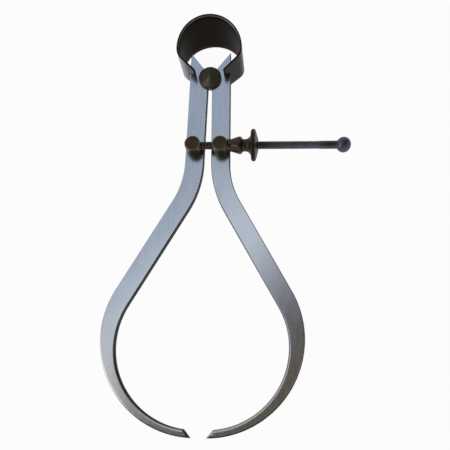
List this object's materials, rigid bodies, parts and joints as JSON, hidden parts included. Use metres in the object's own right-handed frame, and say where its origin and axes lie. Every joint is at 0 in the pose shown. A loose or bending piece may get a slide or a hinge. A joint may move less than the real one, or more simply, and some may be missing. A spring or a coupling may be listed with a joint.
{
  "type": "outside spring caliper",
  "caption": "Outside spring caliper: flat bowed steel legs on a fulcrum stud, dark bow spring, fine adjusting screw with a knurled nut and a ball end.",
  "frame": {"origin": "on the fulcrum axis, at the flat back of the fulcrum stud", "axes": "+X along the adjusting screw towards its ball, +Y from the measuring points to the bow spring, +Z along the fulcrum axis towards the front"},
  "size_m": [0.1015, 0.1762, 0.0203],
  "materials": {
    "leg_steel": "satin ground steel",
    "dark_oxide": "brown-black oxide, turned",
    "spring_steel": "dark tempered spring steel",
    "screw_steel": "blued steel"
  },
  "bodies": {
    "fulcrum": {"fulcrum_stud": "dark_oxide", "bow_spring": "spring_steel"},
    "left_leg": {"left_leg": "leg_steel"},
    "right_leg": {"right_leg": "leg_steel"},
    "screw": {"screw_post": "dark_oxide", "adjusting_screw": "screw_steel"},
    "guide": {"guide_post": "dark_oxide", "thrust_sleeve": "dark_oxide"},
    "nut": {"knurled_nut": "dark_oxide"}
  },
  "joints": [
    {"name": "right_swing", "type": "hinge", "parent": "fulcrum", "child": "right_leg", "pos_m": [0, 0, 0.0026], "axis": [0, 0, 1], "range_deg": [-1.16, 28], "deforming": ["bow_spring"]},
    {"name": "left_swing", "type": "hinge", "parent": "fulcrum", "child": "left_leg", "pos_m": [0, 0, 0.0026], "axis": [0, 0, -1], "range_deg": [-1.16, 28], "deforming": ["bow_spring"]},
    {"name": "guide_swivel", "type": "hinge", "parent": "right_leg", "child": "guide", "pos_m": [0.00576, -0.03219, 0.007], "axis": [0, 0, -1], "range_deg": [-1.16, 28]},
    {"name": "screw_swivel", "type": "hinge", "parent": "left_leg", "child": "screw", "pos_m": [-0.00576, -0.03219, 0.007], "axis": [0, 0, 1], "range_deg": [-1.16, 28]},
    {"name": "nut_spin", "type": "hinge", "parent": "guide", "child": "nut", "pos_m": [0.01831, -0.03219, 0.007], "axis": [1, 0, 0], "range_deg": [-681, 16431]}
  ],
  "couplings": [
    {"joint": "left_swing", "follows": "right_swing", "ratio": 1},
    {"joint": "guide_swivel", "follows": "right_swing", "ratio": 1},
    {"joint": "screw_swivel", "follows": "right_swing", "ratio": 1},
    {"joint": "nut_spin", "follows": "right_swing", "ratio": 586.81}
  ]
}
